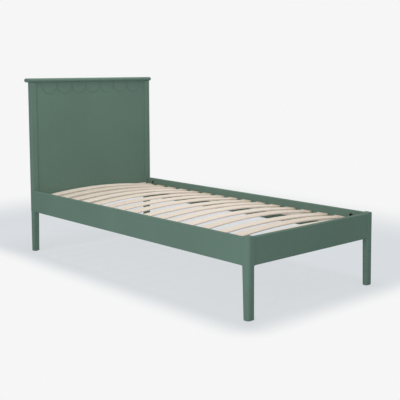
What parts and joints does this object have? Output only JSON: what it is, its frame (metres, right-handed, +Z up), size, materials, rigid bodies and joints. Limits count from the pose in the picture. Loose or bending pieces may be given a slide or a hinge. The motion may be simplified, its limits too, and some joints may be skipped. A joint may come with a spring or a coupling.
{
  "type": "single bed frame",
  "caption": "Painted wooden single bed frame with a flat panelled headboard, rounded cap, deep rails, tapered legs and bowed sprung slats.",
  "frame": {"origin": "on the floor, under the middle of the frame's box", "axes": "+Z up, +X across the bed, +Y along the bed towards the headboard"},
  "size_m": [1.008, 2.012, 1.13],
  "materials": {
    "green_paint": "satin sage-green paint on wood",
    "slat_birch": "sanded birch plywood, bare",
    "head_rail_wood": "planed softwood, bare",
    "ledger_wood": "planed softwood, bare",
    "holder_nylon": "beige moulded nylon",
    "zinc_steel": "zinc-plated steel",
    "black_steel": "blackened steel",
    "beech_dowel": "bare beech",
    "glide_plastic": "dark moulded plastic"
  },
  "bodies": {
    "frame": {"headboard_post_left": "green_paint", "headboard_post_right": "green_paint", "headboard_panel": "green_paint", "headboard_cap": "green_paint", "side_rail_left": "green_paint", "side_rail_right": "green_paint", "foot_rail": "green_paint", "foot_leg_left": "green_paint", "foot_leg_right": "green_paint", "headboard_bottom_rail": "head_rail_wood", "slat_ledger_left": "ledger_wood", "slat_ledger_right": "ledger_wood", "slat_holders_left": "holder_nylon", "slat_holders_right": "holder_nylon", "ledger_screws": "zinc_steel", "bed_studs": "zinc_steel", "bed_nuts": "zinc_steel", "glide_nails": "zinc_steel", "half_moon_washers": "black_steel", "foot_rail_dowels": "beech_dowel", "headboard_rail_dowels": "beech_dowel", "cap_dowels": "beech_dowel", "floor_glides": "glide_plastic"},
    "slat_01": {"slat_01": "slat_birch"},
    "slat_02": {"slat_02": "slat_birch"},
    "slat_03": {"slat_03": "slat_birch"},
    "slat_04": {"slat_04": "slat_birch"},
    "slat_05": {"slat_05": "slat_birch"},
    "slat_06": {"slat_06": "slat_birch"},
    "slat_07": {"slat_07": "slat_birch"},
    "slat_08": {"slat_08": "slat_birch"},
    "slat_09": {"slat_09": "slat_birch"},
    "slat_10": {"slat_10": "slat_birch"},
    "slat_11": {"slat_11": "slat_birch"},
    "slat_12": {"slat_12": "slat_birch"},
    "slat_13": {"slat_13": "slat_birch"},
    "slat_14": {"slat_14": "slat_birch"},
    "slat_15": {"slat_15": "slat_birch"},
    "slat_16": {"slat_16": "slat_birch"}
  },
  "joints": [
    {"name": "slat_01_flex", "type": "slide", "parent": "frame", "child": "slat_01", "axis": [0, 0, 1], "range_m": [-0.0245, 0], "stiffness_N_per_m": 6500, "springref_m": 0.002, "deforming": ["slat_01"]},
    {"name": "slat_02_flex", "type": "slide", "parent": "frame", "child": "slat_02", "axis": [0, 0, 1], "range_m": [-0.024, 0], "stiffness_N_per_m": 6500, "springref_m": 0.002, "deforming": ["slat_02"]},
    {"name": "slat_03_flex", "type": "slide", "parent": "frame", "child": "slat_03", "axis": [0, 0, 1], "range_m": [-0.022, 0], "stiffness_N_per_m": 6500, "springref_m": 0.002, "deforming": ["slat_03"]},
    {"name": "slat_04_flex", "type": "slide", "parent": "frame", "child": "slat_04", "axis": [0, 0, 1], "range_m": [-0.023, 0], "stiffness_N_per_m": 6500, "springref_m": 0.002, "deforming": ["slat_04"]},
    {"name": "slat_05_flex", "type": "slide", "parent": "frame", "child": "slat_05", "axis": [0, 0, 1], "range_m": [-0.024, 0], "stiffness_N_per_m": 6500, "springref_m": 0.002, "deforming": ["slat_05"]},
    {"name": "slat_06_flex", "type": "slide", "parent": "frame", "child": "slat_06", "axis": [0, 0, 1], "range_m": [-0.02, 0], "stiffness_N_per_m": 6500, "springref_m": 0.002, "deforming": ["slat_06"]},
    {"name": "slat_07_flex", "type": "slide", "parent": "frame", "child": "slat_07", "axis": [0, 0, 1], "range_m": [-0.021, 0], "stiffness_N_per_m": 6500, "springref_m": 0.002, "deforming": ["slat_07"]},
    {"name": "slat_08_flex", "type": "slide", "parent": "frame", "child": "slat_08", "axis": [0, 0, 1], "range_m": [-0.0215, 0], "stiffness_N_per_m": 6500, "springref_m": 0.002, "deforming": ["slat_08"]},
    {"name": "slat_09_flex", "type": "slide", "parent": "frame", "child": "slat_09", "axis": [0, 0, 1], "range_m": [-0.017, 0], "stiffness_N_per_m": 6500, "springref_m": 0.002, "deforming": ["slat_09"]},
    {"name": "slat_10_flex", "type": "slide", "parent": "frame", "child": "slat_10", "axis": [0, 0, 1], "range_m": [-0.019, 0], "stiffness_N_per_m": 6500, "springref_m": 0.002, "deforming": ["slat_10"]},
    {"name": "slat_11_flex", "type": "slide", "parent": "frame", "child": "slat_11", "axis": [0, 0, 1], "range_m": [-0.024, 0], "stiffness_N_per_m": 6500, "springref_m": 0.002, "deforming": ["slat_11"]},
    {"name": "slat_12_flex", "type": "slide", "parent": "frame", "child": "slat_12", "axis": [0, 0, 1], "range_m": [-0.021, 0], "stiffness_N_per_m": 6500, "springref_m": 0.002, "deforming": ["slat_12"]},
    {"name": "slat_13_flex", "type": "slide", "parent": "frame", "child": "slat_13", "axis": [0, 0, 1], "range_m": [-0.0225, 0], "stiffness_N_per_m": 6500, "springref_m": 0.002, "deforming": ["slat_13"]},
    {"name": "slat_14_flex", "type": "slide", "parent": "frame", "child": "slat_14", "axis": [0, 0, 1], "range_m": [-0.0135, 0], "stiffness_N_per_m": 6500, "springref_m": 0.002, "deforming": ["slat_14"]},
    {"name": "slat_15_flex", "type": "slide", "parent": "frame", "child": "slat_15", "axis": [0, 0, 1], "range_m": [-0.019, 0], "stiffness_N_per_m": 6500, "springref_m": 0.002, "deforming": ["slat_15"]},
    {"name": "slat_16_flex", "type": "slide", "parent": "frame", "child": "slat_16", "axis": [0, 0, 1], "range_m": [-0.0165, 0], "stiffness_N_per_m": 6500, "springref_m": 0.002, "deforming": ["slat_16"]}
  ]
}
